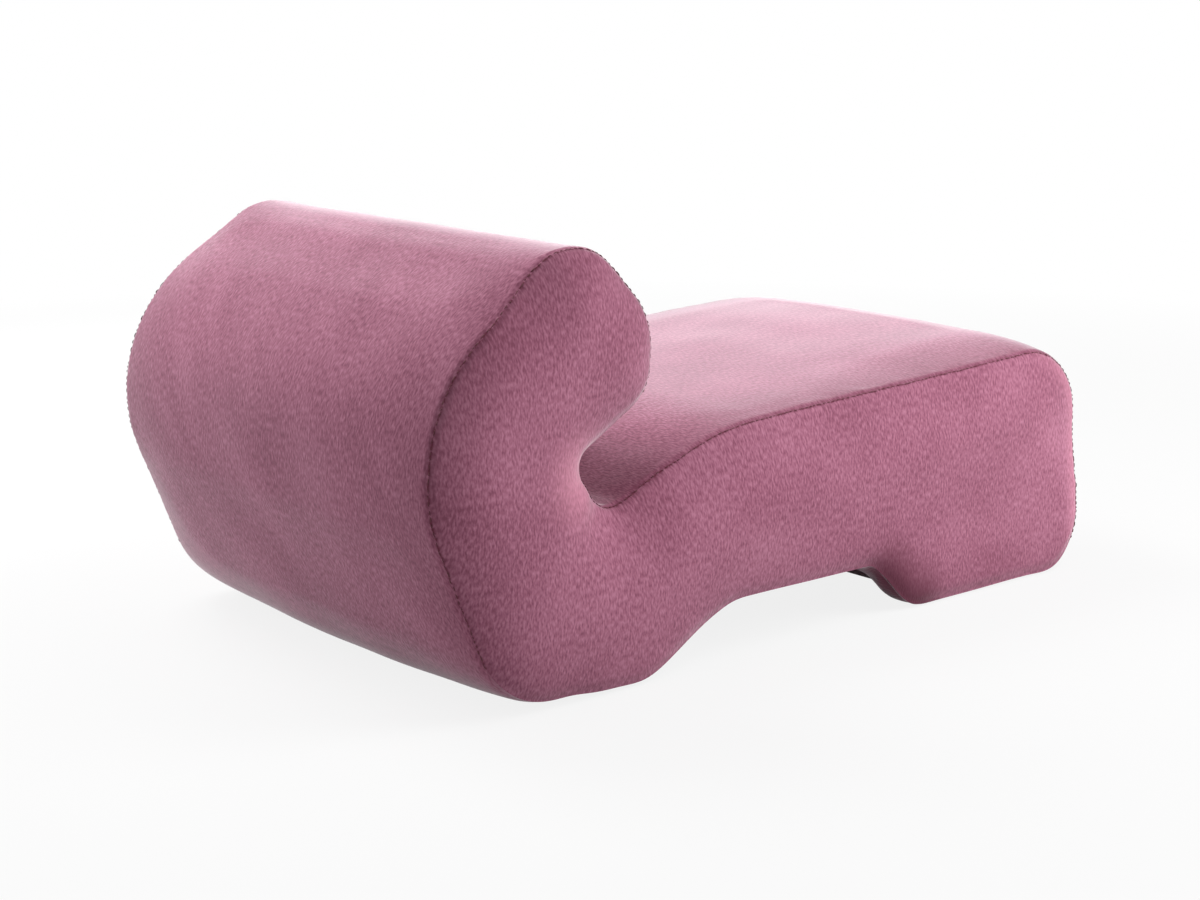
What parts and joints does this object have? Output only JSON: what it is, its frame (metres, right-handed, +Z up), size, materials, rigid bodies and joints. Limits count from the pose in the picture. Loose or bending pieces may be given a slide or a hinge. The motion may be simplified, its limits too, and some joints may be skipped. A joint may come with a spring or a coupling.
{
  "type": "chaise longue",
  "caption": "Armless upholstered chaise longue: plush cover over foam on a timber frame, a fixed rolled back, a long seat and a low arch between base and foot.",
  "frame": {"origin": "on the floor, under the middle of the bounding box", "axes": "+Z up, +Y towards the back, -Y towards the foot end, +X the sitter's left"},
  "size_m": [0.9458, 1.5292, 0.7003],
  "materials": {
    "plush": "short-pile plush, mauve pink",
    "lining": "black non-woven",
    "wadding": "polyester fibre sheet",
    "foam": "open-cell polyurethane foam",
    "plywood": "raw birch plywood",
    "beech": "planed beech",
    "strap": "elastic webbing",
    "glide": "moulded, black",
    "steel": "zinc plated"
  },
  "bodies": {
    "root": {"cover_back": "plush", "cover_seat": "plush", "cover_side_left": "plush", "cover_side_right": "plush", "dust_cover": "lining", "wadding_back": "wadding", "wadding_seat": "wadding", "wadding_side_left": "wadding", "wadding_side_right": "wadding", "foam_back": "foam", "foam_head": "foam", "foam_lumbar": "foam", "foam_seat": "foam", "foam_front": "foam", "foam_side_left": "foam", "foam_side_right": "foam", "rib_left": "plywood", "rib_centre": "plywood", "rib_right": "plywood", "panel_back": "plywood", "panel_front": "plywood", "panel_heel": "plywood", "panel_arch": "plywood", "panel_ramp": "plywood", "panel_base": "plywood", "panel_foot": "plywood", "rail_base_rear": "beech", "rail_base_front": "beech", "rail_back_lower": "beech", "rail_back_upper": "beech", "rail_head": "beech", "rail_lumbar": "beech", "rail_seat_rear": "beech", "rail_seat_middle": "beech", "rail_seat_front": "beech", "rail_arch": "beech", "rail_foot_rear": "beech", "rail_foot_front": "beech", "seat_strap_1": "strap", "seat_strap_2": "strap", "seat_strap_3": "strap", "seat_strap_4": "strap", "seat_strap_5": "strap", "seat_strap_6": "strap", "glide_base_left": "glide", "glide_base_right": "glide", "glide_foot_left": "glide", "glide_foot_right": "glide", "glide_screw_base_left": "steel", "glide_screw_base_right": "steel", "glide_screw_foot_left": "steel", "glide_screw_foot_right": "steel"}
  },
  "joints": []
}
